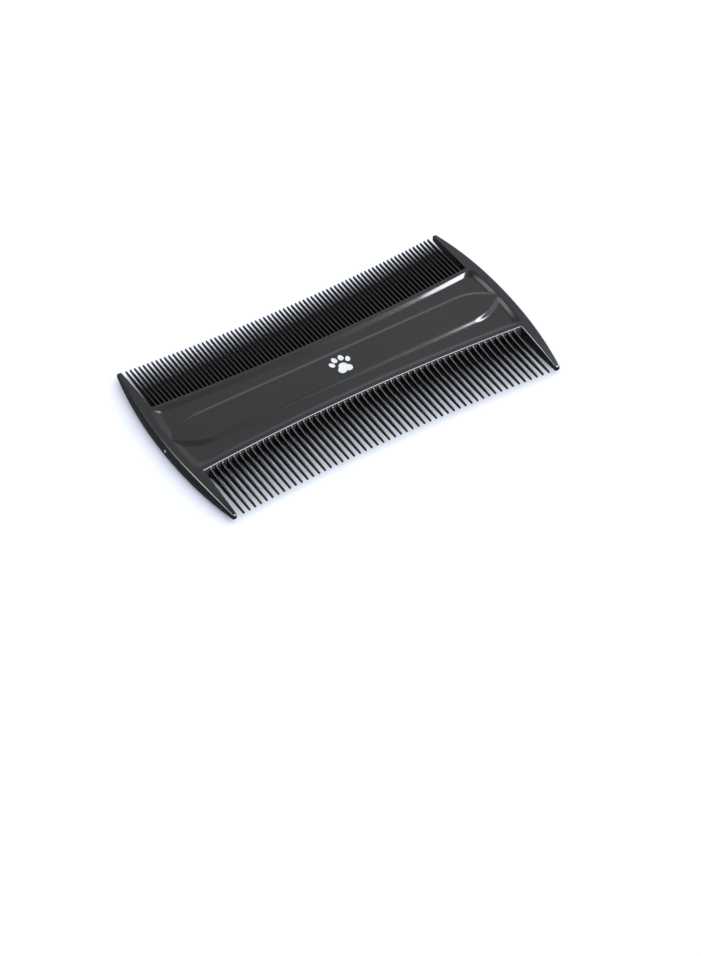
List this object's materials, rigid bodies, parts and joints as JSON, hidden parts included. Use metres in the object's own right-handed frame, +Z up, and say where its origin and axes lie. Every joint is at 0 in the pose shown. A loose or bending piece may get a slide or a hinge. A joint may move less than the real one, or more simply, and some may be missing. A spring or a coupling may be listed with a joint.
{
  "type": "double-sided flea comb",
  "caption": "Flat double-sided flea comb in glossy black plastic: fine teeth on one edge, coarse on the other, crescent end guards, and a raised oval with a printed paw in a recessed panel.",
  "frame": {"origin": "centre of the comb's footprint, on the surface it lies on", "axes": "+X along the comb's length towards the right guard, +Y towards the fine teeth, +Z up through its thickness"},
  "size_m": [0.089, 0.05, 0.0037],
  "materials": {
    "comb_plastic": "glossy black injection-moulded plastic with polished flats and faint moulding flow",
    "ink": "flat white pad-printed ink"
  },
  "bodies": {
    "root": {"spine": "comb_plastic", "left_guard": "comb_plastic", "right_guard": "comb_plastic", "fine_teeth": "comb_plastic", "coarse_teeth": "comb_plastic", "printed_mark": "ink"}
  },
  "joints": []
}
